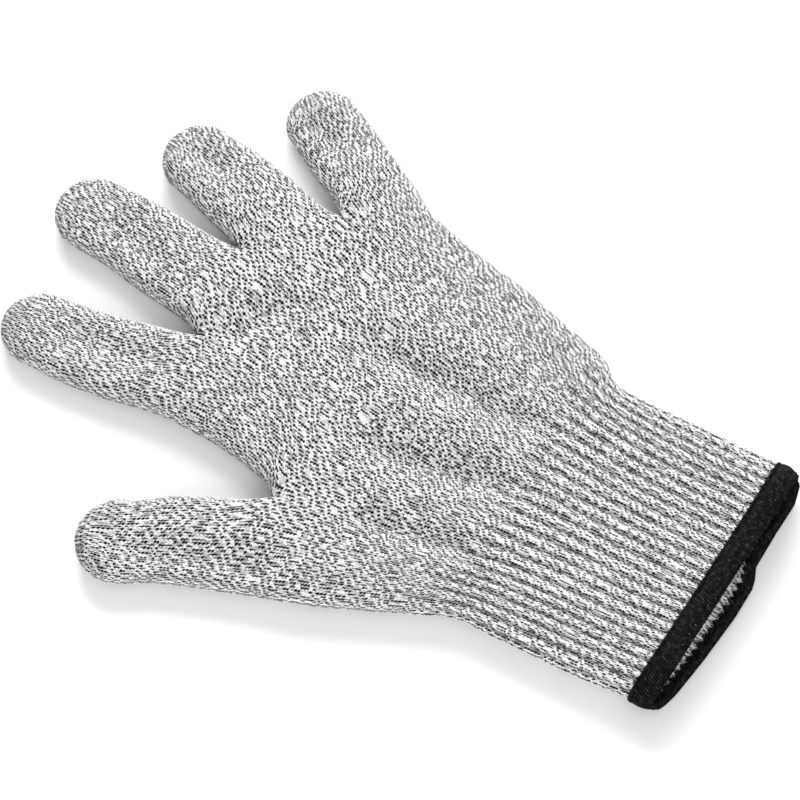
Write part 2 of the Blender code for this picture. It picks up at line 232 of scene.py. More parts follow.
def end_arc(end, degrees):
    """Points of a fingertip's rounded end; 0 degrees points out along the finger, + to the right."""
    middle, lean, half_width, length = end
    turn = np.radians(np.atleast_1d(degrees))
    out = np.array((math.sin(math.radians(lean)), math.cos(math.radians(lean))))
    right = np.array((out[1], -out[0]))
    ahead = np.outer(np.cos(turn) * length, out)
    return np.array(middle) + ahead + np.outer(np.sin(turn) * half_width, right)


def side_line(strip, side):
    """One side of a strip, from where it leaves its neighbour (or the hem) to the corner of its tip."""
    if strip == (0, len(STRIPS) - 1)[side]:
        corner, *rest = (LEFT_HEM, RIGHT_HEM)[side]
        start, first = ((corner[0], corner[1] + HEM_CORNERS), *rest), 0
    else:
        start, first = (CROTCH_POINTS[strip - 1 + side],), CROTCHES[strip - 1 + side]
    outline = OUTLINES[STRIPS[strip]]
    turn = (-1, 1)[side] * np.array(END_TURNS)
    count = (TIPS[strip] - first) // COARSE_COURSES + 1
    return first // COARSE_COURSES, spline([*start, *outline[side], *end_arc(outline[2], turn)], count)


def coarse_lattice():
    """Where the wales run: the strips' outlines are held and every other crossing settles between its
    neighbours, as a net does. Returns one array of points (course, wale, xy) for each strip."""
    across = STRIP_WALES // COARSE_WALES
    joined = [crotch // COARSE_COURSES for crotch in CROTCHES]
    numbers, held, links = {}, {}, set()

    def number(strip, row, column):
        """Neighbouring strips share their common wale up to the crotch between them."""
        owner = strip
        if column == 0 and strip > 0 and row <= joined[strip - 1]:
            owner = "shared"
        if column == across and strip < len(joined) and row <= joined[strip]:
            owner = "shared"
        return numbers.setdefault((strip * across + column, row, owner), len(numbers))

    grids = []
    for strip, tip in enumerate(TIPS):
        rows = range(tip // COARSE_COURSES + 1)
        columns = range(across + 1)
        grids.append(np.array([[number(strip, row, column) for column in columns] for row in rows]))
    hem = np.linspace(LEFT_HEM[0], RIGHT_HEM[0], across * len(STRIPS) + 1)
    hem[:, 1] += HEM_CORNERS * np.linspace(-1, 1, len(hem)) ** 8
    for strip, grid in enumerate(grids):
        held.update(zip(grid[0], hem[strip * across:]))
        for side, column in enumerate((0, across)):
            first, line = side_line(strip, side)
            held.update(zip(grid[first:, column], line))
        turns = np.linspace(-CORNER_TURN, CORNER_TURN, across + 1)
        held.update(zip(grid[-1], end_arc(OUTLINES[STRIPS[strip]][2], turns)))
        for a, b in ((grid[1:], grid[:-1]), (grid[:, 1:], grid[:, :-1])):
            links.update(zip(a.ravel(), b.ravel()))
    links = np.array(sorted(links))
    net = np.zeros((len(numbers), len(numbers)))
    for a, b in (links.T, links.T[::-1]):
        net[a, b] = -1
        np.add.at(net, (a, a), 1)
    fixed = np.array(sorted(held))
    net[fixed] = 0
    net[fixed, fixed] = 1
    target = np.zeros((len(numbers), 2))
    target[fixed] = [held[index] for index in fixed]
    points = np.linalg.solve(net, target)
    return [points[grid] for grid in grids]


def sample(grid, rows, columns):
    """Smoothly interpolated values of a grid at fractional rows and columns (arrays of one shape)."""
    def taps(position, size):
        low = np.clip(np.floor(position).astype(int), 0, size - 2)
        t = position - low
        weights = (0.5 * (-t + 2 * t**2 - t**3), 0.5 * (2 - 5 * t**2 + 3 * t**3),
                   0.5 * (t + 4 * t**2 - 3 * t**3), 0.5 * (-t**2 + t**3))
        return low, weights

    padded = np.pad(grid, ((1, 1), (1, 1), (0, 0)), mode="reflect", reflect_type="odd")
    row, row_weights = taps(rows, grid.shape[0])
    column, column_weights = taps(columns, grid.shape[1])
    total = 0
    for i, a in enumerate(row_weights):
        for j, b in enumerate(column_weights):
            total = total + (a * b)[..., None] * padded[row + i, column + j]
    return total


def smoothstep(t):
    t = np.clip(t, 0, 1)
    return t * t * (3 - 2 * t)


def rounding(count, reach):
    """Distances in from a tube's side, seen from above, of count equal steps round it."""
    angles = np.linspace(0, EDGE_TURN, count + 1)
    return reach * (1 - np.cos(angles)) / (1 - math.cos(EDGE_TURN))


def lean_of_legs(shape):
    """Which way each lattice point of a stitch leans: its two legs spread towards the hem."""
    leans = np.zeros(shape)
    leans[0::2, 1::SPLIT] = leans[1::2, 3::SPLIT] = -1
    leans[1::2, 1::SPLIT] = leans[0::2, 3::SPLIT] = 1
    leans[:, :EDGE_WALES * SPLIT] = leans[:, -EDGE_WALES * SPLIT:] = 0
    return leans


class Strip:
    """A digit's strip of fabric, from hem to fingertip: its lattice from above and its knit numbers."""

    def __init__(self, index, grid):
        self.index = index
        self.tip = TIPS[index]
        self.crotches = [CROTCHES[index - 1] if index > 0 else None,
                         CROTCHES[index] if index < len(CROTCHES) else None]
        turn = self.tip - rounding(EDGE_WALES * HALVES, EDGE_REACH)[::-1] / COURSE
        straight = np.arange(round((self.tip - EDGE_REACH / COURSE) * HALVES)) / HALVES
        self.courses = np.concatenate([straight, turn])
        self.course_numbers = np.arange(len(self.courses)) / HALVES
        ends = sample(grid, *np.meshgrid(self.courses / COARSE_COURSES,
                                         (0, STRIP_WALES / COARSE_WALES), indexing="ij"))
        pitch = np.linalg.norm(ends[:, 1] - ends[:, 0], axis=1) / STRIP_WALES
        edge = rounding(EDGE_WALES * SPLIT, 1.0)
        left, right = (np.outer(self.opening(side) * EDGE_REACH / pitch, edge) for side in (0, 1))
        share = np.linspace(0, 1, STRIP_WALES * SPLIT + 1)[1:-1]
        width = STRIP_WALES - left[:, -1:] - right[:, -1:]
        wales = np.hstack([left, left[:, -1:] + width * share, STRIP_WALES - right[:, ::-1]])
        wales += STITCH_SLANT * lean_of_legs(wales.shape)
        self.wale_numbers = index * STRIP_WALES + np.arange(wales.shape[1]) / SPLIT - EDGE_WALES
        rows = np.broadcast_to(self.courses[:, None], wales.shape)
        self.plan = sample(grid, rows / COARSE_COURSES, wales / COARSE_WALES)

    def opening(self, side):
        """How far this side has opened as a tube's side at each course, from 0 to 1."""
        crotch = self.crotches[side]
        if crotch is None:
            return np.ones(len(self.courses))
        return smoothstep((self.courses - crotch) / OPENING_COURSES)

    def outline(self):
        """This strip's own stretches of the glove's outline."""
        runs = [self.plan[-1]]
        for crotch, column in zip(self.crotches, (0, -1)):
            first = 0 if crotch is None else crotch * HALVES
            runs.append(self.plan[first:, column])
        return runs

    def thickness(self):
        """Thickness of the flattened tube at each course."""
        last_crotch = max(crotch for crotch in self.crotches if crotch is not None)
        own = THUMB_THICKNESS if self.index == 0 else FINGER_THICKNESS
        body = np.interp(self.courses, TUBE_COURSES, TUBE_THICKNESS)
        return body + (own - body) * smoothstep((self.courses - last_crotch) / DIGIT_COURSES)


def densify(run, spacing=0.15):
    """Close, evenly spaced places along a run of points."""
    travel = np.append(0, np.cumsum(np.linalg.norm(np.diff(run, axis=0), axis=1)))
    wanted = np.arange(0, travel[-1], spacing)
    return np.column_stack([np.interp(wanted, travel, run[:, axis]) for axis in (0, 1)])


def outline_tree(strips):
    """The glove's outline, for finding how far in from it a place lies."""
    points = np.vstack([densify(run) for strip in strips for run in strip.outline()])
    tree = kdtree.KDTree(len(points))
    for index, (x, y) in enumerate(points):
        tree.insert((x, y, 0), index)
    tree.balance()
    return tree


def fold_height(plan):
    """Height that the loose fabric's hollows and swells add at each place."""
    total = np.zeros(plan.shape[:-1])
    for start, end, width, height in FOLDS:
        start, run = np.array(start), np.array(end) - start
        share = ((plan - start) @ run) / (run @ run)
        nearest = start + np.clip(share, 0, 1)[..., None] * run
        distance = np.linalg.norm(plan - nearest, axis=-1)
        # full along its middle, and gone about a third of its length past each end
        fade = smoothstep(1.3 - np.abs(share - 0.5) * 1.6)
        total += height * np.exp(-(distance / width) ** 2) * fade
    for height, across, along, phase in WAVES:
        total += height * np.sin(plan[..., 0] / across + plan[..., 1] / along + phase)
    return total


def heights(strip, tree):
    """Heights of the upper and the under side of the tube at each lattice point."""
    distance = np.array([tree.find((x, y, 0))[2] for x, y in strip.plan.reshape(-1, 2)])
    distance = distance.reshape(strip.plan.shape[:-1])
    distance[distance < 0.1] = 0    # a place on the outline itself
    round_side = np.sqrt(1 - (1 - np.clip(distance / SIDE_RADIUS, 0, 1)) ** 2)
    crown = SHOULDER + (1 - SHOULDER) * smoothstep(distance / CROWN_REACH)
    top = strip.thickness()[:, None]
    near_hem = smoothstep(1.3 - strip.courses / HEM_REST_COURSES)[:, None]
    rest = REST_HEIGHT + (HEM_REST - REST_HEIGHT) * near_hem
    side = rest + (top - rest) * SIDE_SHARE
    upper = side + (top * crown - side + fold_height(strip.plan)) * round_side
    under = side - (side - rest) * round_side
    return upper, under


# ---------------------------------------------------------------- one welded surface
def quads_of(grid):
    """The four corners of each cell of a grid."""
    return np.stack([grid[:-1, :-1], grid[:-1, 1:], grid[1:, 1:], grid[1:, :-1]], axis=2)


class Fabric:
    """The glove's whole outer surface: points, knit numbers and faces."""

    def __init__(self, strips, tree):
        self.strips = strips
        upper, under, points, knit = [], [], [], []
        total = 0
        for strip in strips:
            top, bottom = heights(strip, tree)
            size = top.size
            courses = np.broadcast_to(strip.course_numbers[:, None], top.shape)
            wales = np.broadcast_to(strip.wale_numbers, top.shape)
            numbers = np.arange(size).reshape(top.shape)
            for layer, height in ((upper, top), (under, bottom)):
                plan = strip.plan.copy()
                if layer is under:
                    lower = strip.thickness()[:, None] * SIDE_SHARE - height
                    near = smoothstep(1 - strip.courses / LIP_COURSES)[:, None]
                    reach = near * smoothstep(lower / LIP_DEPTH)
                    plan[..., 1] -= np.interp(plan[..., 0], LIP_PLACES, LIP_REACH) * reach
                layer.append(numbers + total)
                total += size
                points.append(np.dstack([plan, height]).reshape(-1, 3))
                knit.append(np.dstack([wales, courses]).reshape(-1, 2))
        self.points = np.vstack(points)
        self.knit = np.vstack(knit)
        self.upper, self.under = upper, under
        self.weld()
        self.faces = self.make_faces()

    def weld(self):
        """Gives shared places one number: common wales below a crotch, and the sides and ends of tubes."""
        edge = EDGE_WALES * SPLIT + 1
        for layer in (self.upper, self.under):
            for index, crotch in enumerate(CROTCHES):
                last = crotch * HALVES + 1
                shared = layer[index][:last, -edge, None].copy()
                layer[index][:last, -edge:] = shared
                layer[index + 1][:last, :edge] = shared
        for strip, upper, under in zip(self.strips, self.upper, self.under):
            under[-1] = upper[-1]
            for crotch, side, turned in zip(strip.crotches, (0, -1), (slice(0, edge), slice(-edge, None))):
                first = (crotch or 0) * HALVES
                under[first:, side] = upper[first:, side]
                if crotch:
                    under[first, turned] = upper[first, turned]

    def make_faces(self):
        """Corner numbers and knit numbers of every stitch quarter; a repeated corner makes a triangle."""
        corners, knit, owners = [], [], []
        layers = ((self.upper, (0, 1, 2, 3), 0), (self.under, (3, 2, 1, 0), UNDER_WALE))
        for layer, order, first in layers:
            for strip, numbers in zip(self.strips, layer):
                owners.append(np.full((numbers.shape[0] - 1) * (numbers.shape[1] - 1), strip.index))
                wales = strip.wale_numbers + first
                pair = np.dstack(np.broadcast_arrays(wales, strip.course_numbers[:, None]))
                for grid, out in ((numbers, corners), (pair, knit)):
                    out.append(quads_of(grid)[:, :, order].reshape(-1, 4, *grid.shape[2:]))
        corners, knit = np.vstack(corners), np.vstack(knit)
        repeats = corners == np.roll(corners, -1, axis=1)
        real = repeats.sum(axis=1) <= 1
        self.strip_numbers = np.concatenate(owners)[real]
        return corners[real], knit[real], repeats[real]

    def normals(self):
        corners = self.points[self.faces[0]]
        cross = np.cross(corners[:, 2] - corners[:, 0], corners[:, 3] - corners[:, 1])
        total = np.zeros_like(self.points)
        for corner in range(4):
            np.add.at(total, self.faces[0][:, corner], cross)
        return total / np.maximum(np.linalg.norm(total, axis=1, keepdims=True), 1e-9)


def relief(knit):
    """Height of the stitches and ribs above the smooth fabric."""
    wale, course = knit.T
    across = np.abs(wale % 1 - 0.5) * 2    # 0 in the middle of a stitch, 1 at its sides
    inside = np.where(across < 0.1, BETWEEN_LEGS, ON_LEG)
    legs = np.where(across > 0.9, BETWEEN_STITCHES, inside)
    legs *= np.where(course % 1 < 0.25, 1.0, LOW_LEG)
    cuff = 1 - smoothstep((course - WRIST_COURSE - 2) / RIB_COURSES)
    rib = np.abs(np.cos(np.pi * wale / RIB_WALES)) ** 0.8 * 2 - 1.2
    return STITCH_HEIGHT * legs * (1 - CUFF_STITCHES * cuff) + RIB_HEIGHT * rib * cuff


# ---------------------------------------------------------------- meshes
def to_row(points):
    """Plan millimetres to the frame's metres."""
    return (points + (*ORIGIN, 0)) * MM


def build_object(name, points, corners, totals, uv, material):
    mesh = bpy.data.meshes.new(name)
    mesh.vertices.add(len(points))
    mesh.vertices.foreach_set("co", to_row(points).astype(np.float32).ravel())
    mesh.loops.add(len(corners))
    mesh.loops.foreach_set("vertex_index", corners.astype(np.int32))
    mesh.polygons.add(len(totals))
    mesh.polygons.foreach_set("loop_start", (np.cumsum(totals) - totals).astype(np.int32))
    layer = mesh.uv_layers.new(name="knit")
    layer.data.foreach_set("uv", uv.astype(np.float32).ravel())
    mesh.update(calc_edges=True)
    mesh.shade_smooth()
    mesh.materials.append(material)
    made = bpy.data.objects.new(name, mesh)
    bpy.context.scene.collection.objects.link(made)
    return made


def fabric_piece(name, fabric, points, chosen, material):
    """The chosen faces of the fabric as an object of their own."""
    corners, knit, repeats = (part[chosen] for part in fabric.faces)
    kept = ~repeats.ravel()
    used, flat = np.unique(corners.ravel()[kept], return_inverse=True)
    totals = 4 - repeats.sum(axis=1)
    return build_object(name, points[used], flat, totals, knit.reshape(-1, 2)[kept], material)


def swept_piece(name, rings, material, closed_profile, scale=(1.0, 1.0)):
    """A surface through rings of points (profile, around, xyz), closed around."""
    count, around = rings.shape[:2]
    numbers = np.arange(count * around).reshape(count, around)
    numbers = np.hstack([numbers, numbers[:, :1]])
    if closed_profile:
        numbers = np.vstack([numbers, numbers[:1]])
    corners = quads_of(numbers).ravel()
    rows, columns = np.indices(numbers.shape)
    uv = quads_of(np.dstack([columns * scale[0], rows * scale[1]])).reshape(-1, 2)
    totals = np.full(len(corners) // 4, 4)
    return build_object(name, rings.reshape(-1, 3), corners, totals, uv, material)


# ---------------------------------------------------------------- the cuff's mouth
class Mouth:
    """The cuff near its open end, as rings of places at any distance in from the rim."""

    def __init__(self, fabric):
        edge = EDGE_WALES * SPLIT
        rows = int(LINING_DEPTH / COURSE * HALVES) + 4    # a few to spare
        first, last = 0, len(STRIPS) - 1
        upper, under = [], []
        for index, (top, bottom) in enumerate(zip(fabric.upper, fabric.under)):
            start = 0 if index == first else edge + 1
            stop = None if index == last else -edge
            upper.append(top[:rows, start:stop])
            under.append(bottom[:rows, start:stop])
        around = np.hstack([*upper, np.hstack(under)[:, -2:0:-1]])
        rings = fabric.points[around]
        self.rings = np.stack([self.even(ring) for ring in rings])
        travel = np.linalg.norm(np.diff(self.rings, axis=0), axis=2).mean(axis=1)
        self.distances = np.append(0, np.cumsum(travel))
        # directions over a few points, so single lattice points don't show
        ahead = np.roll(self.rings, -6, axis=1) - np.roll(self.rings, 6, axis=1)
        inward = np.gradient(self.rings, axis=0)
        inward /= np.linalg.norm(inward, axis=2, keepdims=True)
        normals = np.cross(ahead, inward)
        self.normals = normals / np.linalg.norm(normals, axis=2, keepdims=True)
        self.inward = inward

    @staticmethod
    def even(ring):
        """The same ring as evenly spaced points."""
        closed = np.vstack([ring, ring[:1]])
        travel = np.append(0, np.cumsum(np.linalg.norm(np.diff(closed, axis=0), axis=1)))
        wanted = np.arange(MOUTH_POINTS) * travel[-1] / MOUTH_POINTS
        return np.column_stack([np.interp(wanted, travel, closed[:, axis]) for axis in range(3)])

    def ring(self, distance, offset):
        """Places this far in from the rim and this far out from the fabric; each may vary around."""
        distance = np.broadcast_to(distance, MOUTH_POINTS)
        offset = np.broadcast_to(offset, MOUTH_POINTS)
        position = np.interp(distance, self.distances, np.arange(len(self.distances)))
        low = np.minimum(position.astype(int), len(self.distances) - 2)
        share = (position - low)[:, None]
        column = np.arange(MOUTH_POINTS)
        place = self.rings[low, column] * (1 - share) + self.rings[low + 1, column] * share
        place = place + np.minimum(distance, 0)[:, None] * self.inward[0]
        return place + offset[:, None] * self.normals[low, column]


def hem_band(mouth, material):
    """Overlock threads folded over the cut edge: outside, round the rim and a little way inside."""
    # the band's profile, as pairs of distance in from the rim and height off the fabric
    outside = [(distance, 0.5 + HEM_PUFF * math.sin(math.pi * distance / HEM_WIDTH) ** 0.6)
               for distance in np.linspace(HEM_WIDTH, 0, 10)]
    rim = [(-1.2 * math.cos(angle), -0.4 + 1.1 * math.sin(angle)) for angle in np.linspace(1.2, -1.2, 7)]
    inside = [(distance, -1.55) for distance in np.linspace(0.3, HEM_INSIDE, 6)]
    profile = [(HEM_WIDTH - 0.1, -0.1), *outside, *rim, *inside, (HEM_INSIDE + 0.1, -0.5)]
    turn = np.arange(MOUTH_POINTS) / MOUTH_POINTS * 2 * np.pi
    rings = []
    for index, (distance, offset) in enumerate(profile):
        threads = np.abs(np.sin(turn * THREADS / 2 + 0.8 * index))
        tucked_in = index in (0, len(profile) - 1)
        ridge = 0.0 if tucked_in else THREAD_RIDGE * threads - 0.1
        away = ridge if offset > -0.4 else -ridge
        # the threads wander a little along the cuff
        sway = 0.12 * np.sin(turn * 41 + index) + 0.1 * np.sin(turn * 67)
        if index >= len(profile) - 3:
            sway += TOOTH_SLOPE * np.abs(np.arcsin(np.sin(turn * TEETH / 2)))
        rings.append(mouth.ring(distance + sway, offset + away))
    scale = (THREADS / MOUTH_POINTS, 1 / len(profile))
    return swept_piece("hem_overlock", np.stack(rings), material, True, scale)


def lining(mouth, material):
    """The cuff's inner face, with the purl side of the knit."""
    rings = []
    steps = int((LINING_DEPTH - 2) / COURSE) * 2
    turn = np.arange(MOUTH_POINTS)
    for index in range(steps):
        purl = PURL_HEIGHT * np.cos(turn / MOUTH_POINTS * 2 * np.pi * PURLS) * (1 if index % 2 else -1)
        rings.append(mouth.ring(LINING_START + index * COURSE / 2, LINING_OFFSET + purl))
    stitches = 2 * (STRIP_WALES * len(STRIPS) + 2 * EDGE_WALES)
    scale = (stitches / MOUTH_POINTS, 0.5)
    return swept_piece("cuff_lining", np.stack(rings)[::-1], material, False, scale)


def thread_tube(name, path, radius, material, sides=7):
    """A round thread along a closed path."""
    ahead = np.roll(path, -1, axis=0) - np.roll(path, 1, axis=0)
    ahead /= np.linalg.norm(ahead, axis=1, keepdims=True)
    across = np.cross(ahead, (0.0, 1.0, 0.35))    # the cuff's threads never run this way
    across /= np.linalg.norm(across, axis=1, keepdims=True)
    third = np.cross(ahead, across)
    angles = np.arange(sides) / sides * 2 * np.pi
    rings = np.stack([path + radius * (math.cos(a) * across + math.sin(a) * third) for a in angles])
    return swept_piece(name, rings, material, True, (0.25, 1 / sides))


def braid(name, mouth, distance, offset, width, turns, material):
    """Two strands that cross over each other along the hem."""
    turn = np.arange(MOUTH_POINTS) / MOUTH_POINTS * 2 * np.pi * turns
    strands = []
    for letter, phase in (("a", 0), ("b", np.pi)):
        sway = width * np.sin(turn + phase)
        lift = BRAID_LIFT * np.cos(2 * turn + phase)
        path = mouth.ring(distance + sway, offset + lift)
        strands.append(thread_tube(f"{name}_{letter}", path, THREAD_RADIUS, material))
    return strands


# ---------------------------------------------------------------- materials
class Nodes:
    """A short way to write a material's node tree."""

    def __init__(self, name):
        self.material = bpy.data.materials.new(name)
        self.material.use_nodes = True
        self.tree = self.material.node_tree
        self.shader = self.tree.nodes["Principled BSDF"]

    def add(self, kind, *inputs, **settings):
        node = self.tree.nodes.new(kind)
        for key, value in settings.items():
            setattr(node, key, value)
        for index, value in enumerate(inputs):
            self.feed(node.inputs[index], value)
        return node.outputs

    def feed(self, socket, value):
        if isinstance(value, bpy.types.NodeSocket):
            self.tree.links.new(value, socket)
        elif value is not None:
            socket.default_value = value

    def math(self, operation, a, b=None):
        return self.add("ShaderNodeMath", a, b, operation=operation)[0]

    def ramp(self, value, *stops):
        """Turns a value to grey, by pairs of value and brightness."""
        node = self.tree.nodes.new("ShaderNodeValToRGB")
        self.feed(node.inputs[0], value)
        elements = node.color_ramp.elements
        while len(elements) < len(stops):
            elements.new(0.5)
        for element, (position, grey) in zip(elements, stops):
            element.position = position
            element.color = (grey, grey, grey, 1.0)
        return node.outputs[0]


def melange(name, darkness=0.0):
    """Grey melange knit: each stitch's two legs, from white to grey, and dark fibres in the gaps; with
    painted shade in the gaps, at the legs' ends and in the cuff's grooves, and painted light on its ribs.
    """
    n = Nodes(name)
    uv = n.add("ShaderNodeUVMap", uv_map="knit")[0]
    wale, course, _ = n.add("ShaderNodeSeparateXYZ", uv)

    # which leg, and where on it
    legs = n.math("MULTIPLY", wale, 2.0)
    leg = n.math("FLOOR", legs)
    side = n.math("SUBTRACT", n.math("MULTIPLY", n.math("FLOORED_MODULO", leg, 2.0), 2.0), 1.0)
    across = n.math("SUBTRACT", n.math("FRACT", legs), 0.5)
    along = n.math("ADD", course, n.math("MULTIPLY", n.math("MULTIPLY", side, across), LEG_SLOPE))
    place = n.math("SUBTRACT", n.math("FRACT", along), 0.5)
    middle = n.math("MULTIPLY", n.math("MULTIPLY", side, place), LEG_LEAN)
    off_middle = n.math("ABSOLUTE", n.math("ADD", across, middle))
    off_end = n.math("ABSOLUTE", place)
    end = n.add("ShaderNodeMapRange", off_end, 0.34, 0.5)[0]
    cell = n.add("ShaderNodeCombineXYZ", leg, n.math("FLOOR", along), 0.0)[0]
    own = n.add("ShaderNodeTexWhiteNoise", cell, noise_dimensions="2D")[0]

    # how deep a dark fibre lies in the gap beside it
    between = n.math("FLOOR", n.math("ADD", legs, 0.5))
    start = n.add("ShaderNodeTexWhiteNoise", None, between, noise_dimensions="1D")[0]
    drift = n.add("ShaderNodeTexNoise", uv)[0]
    drift.node.inputs["Scale"].default_value = 0.22
    steady = n.math("ADD", n.math("DIVIDE", course, GAP_PERIOD), n.math("MULTIPLY", between, GAP_STEP))
    stray = n.math("ADD", n.math("MULTIPLY", start, GAP_JITTER), n.math("MULTIPLY", drift, GAP_DRIFT))
    turns = n.math("MULTIPLY", n.math("ADD", steady, stray), 2 * math.pi)
    depth = n.add("ShaderNodeMapRange", n.math("COSINE", turns), -0.6, 0.8)[0]
    wide = n.math("ADD", off_middle, n.math("MULTIPLY", depth, FIBRE_WIDTH))
    gap = n.add("ShaderNodeMapRange", wide, 0.26, 0.5)[0]

    # shade, then colour
    shade = n.math("ADD", n.math("MULTIPLY", n.math("POWER", own, 0.6), LEG_RANGE), LEG_SHADE)
    # painted shade in the grooves between the cuff's ribs and painted light on their crests, fading above
    # the wrist
    ribs = n.math("COSINE", n.math("MULTIPLY", wale, 2 * math.pi / RIB_WALES))
    below = n.add("ShaderNodeMapRange", course, WRIST_COURSE + 14.0, WRIST_COURSE - 2.0)[0]
    shade = n.math("ADD", shade, n.math("MULTIPLY", n.math("MULTIPLY", ribs, below), RIB_PAINTED_LIGHT_AND_SHADE))
    # a gap darkens by its dark fibres, the yarn's own colour, and by painted shade between the yarns
    loss = n.math("ADD", n.math("MULTIPLY", depth, FIBRE_SHADE), GAP_PAINTED_SHADE)
    shade = n.math("SUBTRACT", shade, n.math("MULTIPLY", gap, loss))
    # painted shade at each leg's ends, where one stitch meets the next
    shade = n.math("SUBTRACT", shade, n.math("MULTIPLY", end, END_PAINTED_SHADE))
    shade = n.math("SUBTRACT", shade, darkness)
    colour = n.ramp(shade, (0.0, 0.003), (0.3, 0.02), (0.48, 0.17), (0.64, 0.5), (0.9, 0.9))
    n.feed(n.shader.inputs["Base Color"], colour)
    n.shader.inputs["Roughness"].default_value = 0.85
    n.shader.inputs["Specular IOR Level"].default_value = 0.2

    # bump
    furrow = n.math("ADD", gap, n.math("MULTIPLY", end, 0.5))
    height = n.math("SUBTRACT", n.math("MULTIPLY", own, 0.3), furrow)
    bump = n.add("ShaderNodeBump")[0].node
    bump.inputs["Strength"].default_value = 0.5
    bump.inputs["Distance"].default_value = 0.0002
    n.feed(bump.inputs["Height"], height)
    n.feed(n.shader.inputs["Normal"], bump.outputs[0])
    return n.material


def black_thread(name):
    """Bulked black overlock thread: slanting turns whose crests have a slight sheen painted into their
    colour, with painted shade between them.
    """
    n = Nodes(name)
    uv = n.add("ShaderNodeUVMap", uv_map="knit")[0]
    along, across, _ = n.add("ShaderNodeSeparateXYZ", uv)
    slant = n.math("ADD", along, n.math("MULTIPLY", across, THREAD_SLANT))
    crest = n.math("ABSOLUTE", n.math("SINE", n.math("MULTIPLY", slant, math.pi)))
    place = n.add("ShaderNodeTexCoord")["Object"]
    fibres = n.add("ShaderNodeTexNoise", place)[0]
    fibres.node.inputs["Scale"].default_value = 800.0
    fibres.node.inputs["Detail"].default_value = 2.0
    # painted sheen: the colour is lighter on each turn's crest and darker between turns, as painted shade
    shade = n.math("MULTIPLY", n.math("POWER", crest, 1.5), fibres)
    n.feed(n.shader.inputs["Base Color"], n.ramp(shade, (0.25, 0.0008), (0.45, 0.007), (0.65, 0.05)))
    n.shader.inputs["Roughness"].default_value = 0.7
    n.shader.inputs["Specular IOR Level"].default_value = 0.08

    bump = n.add("ShaderNodeBump")[0].node
    bump.inputs["Strength"].default_value = 0.6
    bump.inputs["Distance"].default_value = 0.0003
    n.feed(bump.inputs["Height"], n.math("ADD", crest, fibres))
    n.feed(n.shader.inputs["Normal"], bump.outputs[0])
    return n.material


def elastic_yarn(name):
    """Covered elastic: pale grey with the winding of its cover showing."""
    n = Nodes(name)
    uv = n.add("ShaderNodeUVMap", uv_map="knit")[0]
    winding = n.add("ShaderNodeTexWave", uv)[0]
    winding.node.inputs["Scale"].default_value = 6.0
    n.feed(n.shader.inputs["Base Color"], n.ramp(winding, (0.2, 0.32), (0.8, 0.5)))
    n.shader.inputs["Roughness"].default_value = 0.7
    return n.material


# ---------------------------------------------------------------- pieces
def hinge_of(joint):
    """A joint's place in plan, and the direction across its axis that its child lies in."""
    place = np.array(JOINTS[joint]["pos_m"][:2]) / MM - ORIGIN
    axis = np.array(JOINTS[joint]["axis"][:2])
    return place, np.array((-axis[1], axis[0]))


def past(joint, places):
    """How far each place lies past a joint's axis, towards its child."""
    place, direction = hinge_of(joint)
    return (np.asarray(places)[..., :2] - place) @ direction


def bend(piece):
    """Bakes a piece's placement into its points."""
    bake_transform(piece)


def digit_pieces(fabric, points, strips_of_faces, index, material):
    """Cuts a digit's knit between its joints, and returns the faces that it took."""
    name = STRIPS[index]
    labels = ("root", "end_knuckle") if index == 0 else ("root", "middle_knuckle", "end_knuckle")
    joints = [f"{name}_{label}" for label in labels]
    crotches = [CROTCH_POINTS[side] for side in (index - 1, index) if 0 <= side < len(CROTCH_POINTS)]
    start = max(past(joints[0], crotches))
    free = past(joints[0], hinge_of(joints[1])[0]) - start
    root_end = start + min(ROOT_BEND, ROOT_SHARE * free)
    knuckle_start = -min(KNUCKLE_BEND, KNUCKLE_SHARE * free)
    bends = [(start, root_end), (knuckle_start, KNUCKLE_BEND), (-END_BEND, END_BEND)]
    corners = points[fabric.faces[0]]
    own = strips_of_faces == index
    taken = own & (past(joints[0], corners).max(axis=1) > start)
    left = taken.copy()
    for number, (joint, (begin, end)) in enumerate(zip(joints, bends)):
        mine = left.copy()
        if number + 1 < len(joints):
            gap = past(joint, hinge_of(joints[number + 1])[0])
            cut = (end + gap + bends[number + 1][0]) / 2
            mine &= past(joint, corners).mean(axis=1) < cut
        left &= ~mine
        piece = fabric_piece(f"{joint}_knit", fabric, points, mine, material)
        bend(piece)
        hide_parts(JOINTS[joint]["child"])
    return taken


def make_glove():
    strips = [Strip(index, grid) for index, grid in enumerate(coarse_lattice())]
    fabric = Fabric(strips, outline_tree(strips))
    points = fabric.points + fabric.normals() * relief(fabric.knit)[:, None]
    strips_of_faces = fabric.strip_numbers
    knit = melange("melange_knit")
    taken = np.zeros(len(strips_of_faces), bool)
    for index in range(len(STRIPS)):
        taken |= digit_pieces(fabric, points, strips_of_faces, index, knit)
    corners = points[fabric.faces[0]]
    wrist = past("wrist_fold", corners)
    cuff = wrist.min(axis=1) >= WRIST_BEND
    palm = ~taken & (wrist.max(axis=1) <= -WRIST_BEND)
    upper = corners[..., 1].mean(axis=1) > PALM_SPLIT
    plans = (
        ("four_finger_palm_knit", palm & upper, ("four_finger_palm",), "plain_knit", "palm"),
        ("five_finger_palm_knit", palm & ~upper, ("five_finger_palm",), "plain_knit", "palm"),
        ("wrist_knit", ~taken & ~palm & ~cuff, ("five_finger_palm",), "plain_knit", None),
        ("cuff_knit", cuff, ("ribbed_cuff",), "ribbed_knit", "cuff"),
    )
    for name, chosen, nodes, slot, body in plans:
        piece = fabric_piece(name, fabric, points, chosen, knit)
        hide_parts(*nodes)
        if body:
            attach(piece, body)
        else:
            bend(piece)
    return fabric


